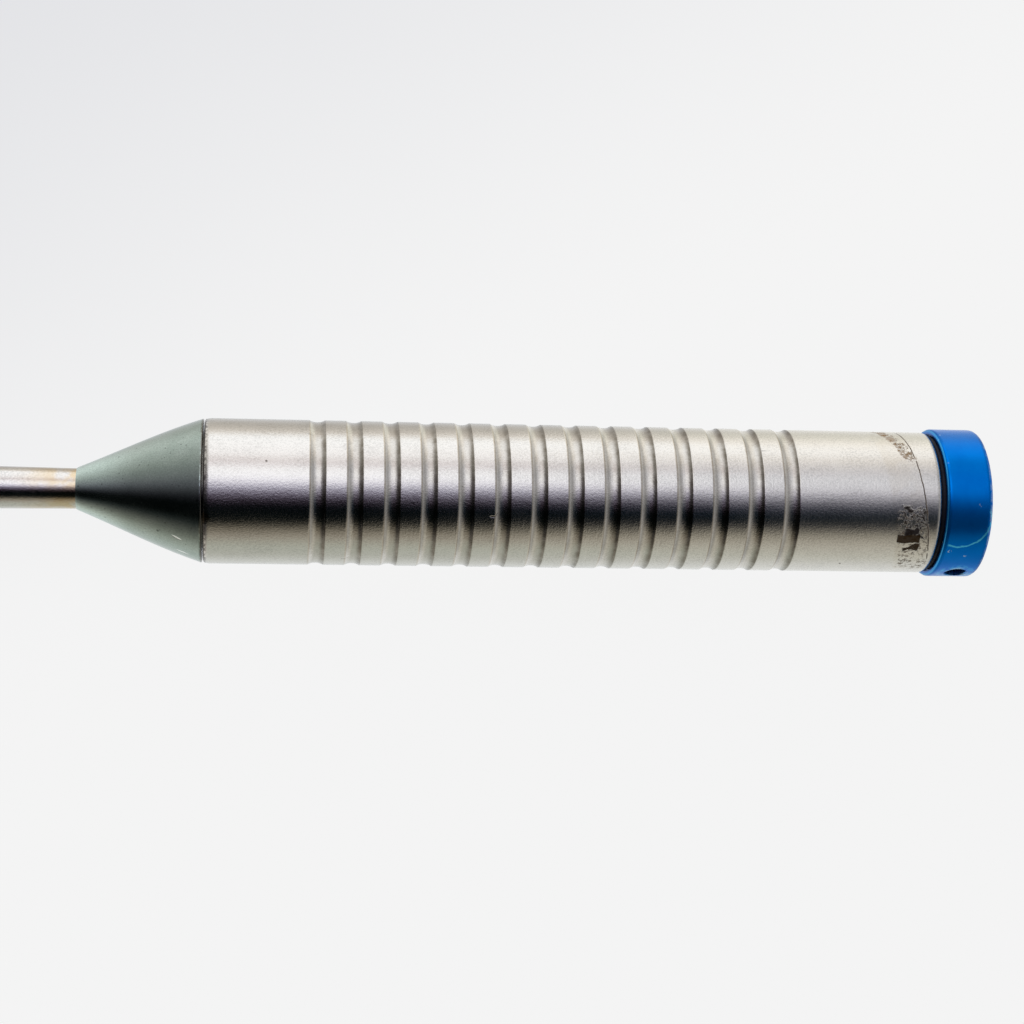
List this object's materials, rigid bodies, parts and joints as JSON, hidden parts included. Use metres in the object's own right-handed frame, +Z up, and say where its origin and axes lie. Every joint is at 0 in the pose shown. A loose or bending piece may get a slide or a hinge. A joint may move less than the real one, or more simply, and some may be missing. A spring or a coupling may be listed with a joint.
{
  "type": "contra-angle torque driver",
  "caption": "Hand-turned dental contra-angle torque driver: grooved steel grip, grey-green cone, slim neck, angled push-button head and a blue torque controller plugged into its rear end.",
  "frame": {"origin": "centre of the controller cap's flat rear face, on the handle's axis", "axes": "+X along the handle's axis towards the rear end; +Z up as the driver lies on a table, cap rim and head touching z = -8.4 mm; +Y completes the frame, and the head's back leans towards +Y"},
  "size_m": [0.1471, 0.0212, 0.0168],
  "materials": {
    "satin_steel": "satin stainless steel, fine turned grain, worn",
    "polished_steel": "polished stainless steel",
    "grey_green_anodised": "satin grey-green anodising",
    "blue_anodised": "satin blue anodising, worn at the edges",
    "black_rubber": "matt",
    "bronze": "machined bronze",
    "spring_steel": "drawn spring wire and strip",
    "gear_steel": "machined and hardened"
  },
  "bodies": {
    "root": {"neck_tube": "polished_steel", "nose_cone": "grey_green_anodised", "core_tube": "gear_steel", "core_circlip": "spring_steel", "thrust_washer": "black_rubber", "union_nut": "polished_steel", "elbow_housing": "polished_steel", "neck_shaft_bush": "bronze", "front_shaft_bush": "bronze", "rear_shaft_bush": "bronze", "head_housing": "polished_steel", "head_lower_bush": "bronze", "head_upper_bush": "bronze", "head_shaft_bush": "bronze", "back_cap": "polished_steel", "button_spring": "spring_steel"},
    "handle": {"grip_sleeve": "satin_steel", "front_sleeve_bush": "bronze", "rear_sleeve_bush": "bronze", "drive_ring": "gear_steel"},
    "controller": {"controller_cap": "blue_anodised", "cap_seal": "black_rubber", "controller_barrel": "gear_steel", "drive_hub": "gear_steel", "pressure_plate": "gear_steel", "clutch_ball_1": "gear_steel", "clutch_ball_2": "gear_steel", "clutch_ball_3": "gear_steel", "spring_seat": "spring_steel", "clutch_spring": "spring_steel", "adjusting_nut": "bronze"},
    "drive_shaft": {"drive_shaft": "gear_steel", "elbow_gear_rear": "gear_steel"},
    "front_shaft": {"front_shaft": "gear_steel", "elbow_gear_front": "gear_steel", "head_pinion": "gear_steel"},
    "chuck": {"chuck_spindle": "gear_steel", "chuck_gear": "gear_steel", "chuck_latch": "spring_steel"},
    "button": {"push_button": "polished_steel"}
  },
  "joints": [
    {"name": "handle_spin", "type": "hinge", "parent": "root", "child": "handle", "pos_m": [0, 0, 0], "axis": [1, 0, 0], "continuous": true},
    {"name": "controller_pull", "type": "slide", "parent": "handle", "child": "controller", "axis": [1, 0, 0], "range_m": [0, 0.04]},
    {"name": "drive_shaft_spin", "type": "hinge", "parent": "root", "child": "drive_shaft", "pos_m": [-0.127, 0, 0], "axis": [1, 0, 0], "continuous": true},
    {"name": "front_shaft_spin", "type": "hinge", "parent": "root", "child": "front_shaft", "pos_m": [-0.127, 0, 0], "axis": [0.9397, -0.3145, 0.1345], "continuous": true},
    {"name": "chuck_spin", "type": "hinge", "parent": "root", "child": "chuck", "pos_m": [-0.14204, 0.00503, -0.00215], "axis": [-0.342, -0.864, 0.3694], "continuous": true},
    {"name": "button_press", "type": "slide", "parent": "root", "child": "button", "axis": [-0.342, -0.864, 0.3694], "range_m": [0, 0.0005], "stiffness_N_per_m": 600, "springref_m": -0.002, "deforming": ["button_spring"]}
  ],
  "couplings": [
    {"joint": "drive_shaft_spin", "follows": "handle_spin", "ratio": 1},
    {"joint": "front_shaft_spin", "follows": "handle_spin", "ratio": 1},
    {"joint": "chuck_spin", "follows": "handle_spin", "ratio": -1}
  ]
}
